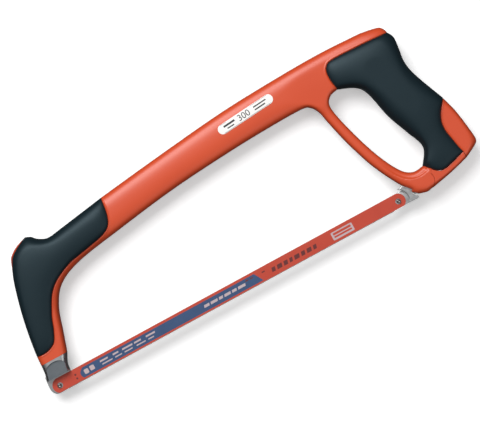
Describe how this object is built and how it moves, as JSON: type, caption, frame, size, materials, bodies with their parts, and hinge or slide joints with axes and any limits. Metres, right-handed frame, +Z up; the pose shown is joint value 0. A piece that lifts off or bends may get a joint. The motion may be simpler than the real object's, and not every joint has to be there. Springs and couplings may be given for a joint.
{
  "type": "hacksaw",
  "caption": "Full-size hacksaw frame with closed handle, rubber grips, blade held on two pins and a tension lever under the handle.",
  "frame": {"origin": "middle of the saw's footprint, on the plane that its right side rests on", "axes": "+X along the blade from the toe to the handle, +Y from the teeth to the spine, +Z up out of the saw's left face"},
  "size_m": [0.3849, 0.1364, 0.03],
  "materials": {
    "orange_nylon": "satin moulded glass-filled nylon",
    "black_rubber": "soft matt overmould",
    "label_film": "printed film",
    "cast_steel": "cast and ground, bare",
    "plain_steel": "turned, bare",
    "zinc_steel": "zinc plated",
    "black_oxide_steel": "black oxide",
    "painted_blade_steel": "thin gloss paint"
  },
  "bodies": {
    "frame": {"steel_core": "black_oxide_steel", "body_shell_left": "orange_nylon", "body_shell_right": "orange_nylon", "front_grip_left": "black_rubber", "front_grip_right": "black_rubber", "handle_grip_left": "black_rubber", "handle_grip_right": "black_rubber", "label_plate": "label_film", "front_anvil": "cast_steel", "front_blade_pin": "plain_steel", "anvil_roll_pin_1": "plain_steel", "anvil_roll_pin_2": "plain_steel", "body_screw_1": "zinc_steel", "body_screw_2": "zinc_steel", "body_screw_3": "zinc_steel", "body_screw_4": "zinc_steel", "body_screw_5": "zinc_steel", "body_screw_6": "zinc_steel", "body_screw_7": "zinc_steel", "body_screw_8": "zinc_steel", "foot_bracket_left": "zinc_steel", "foot_bracket_right": "zinc_steel", "bracket_rivet_1": "plain_steel", "bracket_rivet_2": "plain_steel", "lever_pivot_pin": "plain_steel"},
    "tension_slide": {"rear_tang": "cast_steel", "rear_blade_pin": "plain_steel", "link_pin": "plain_steel"},
    "tension_link": {"tension_link": "zinc_steel"},
    "tension_lever": {"lever_cover": "orange_nylon", "lever_cheek_left": "zinc_steel", "lever_cheek_right": "zinc_steel", "tension_cam": "plain_steel", "lever_screw_1": "zinc_steel", "lever_screw_2": "zinc_steel"},
    "blade": {"blade": "painted_blade_steel"}
  },
  "joints": [
    {"name": "lever_hinge", "type": "hinge", "parent": "frame", "child": "tension_lever", "pos_m": [0.14, -0.0581, 0.015], "axis": [0, 0, -1], "range_deg": [0, 60]},
    {"name": "tang_slide", "type": "slide", "parent": "frame", "child": "tension_slide", "axis": [-1, 0, 0], "range_m": [0, 0.0009]},
    {"name": "link_hinge", "type": "hinge", "parent": "tension_slide", "child": "tension_link", "pos_m": [0.132, -0.0581, 0.015], "axis": [0, 0, -1], "range_deg": [0, 10.1]},
    {"name": "blade_lift", "type": "slide", "parent": "frame", "child": "blade", "axis": [0, 0, 1], "range_m": [0, 0.03]}
  ],
  "couplings": [
    {"joint": "tang_slide", "follows": "lever_hinge", "m_per_rad": 0.00081},
    {"joint": "link_hinge", "follows": "lever_hinge", "ratio": 0.1662}
  ]
}
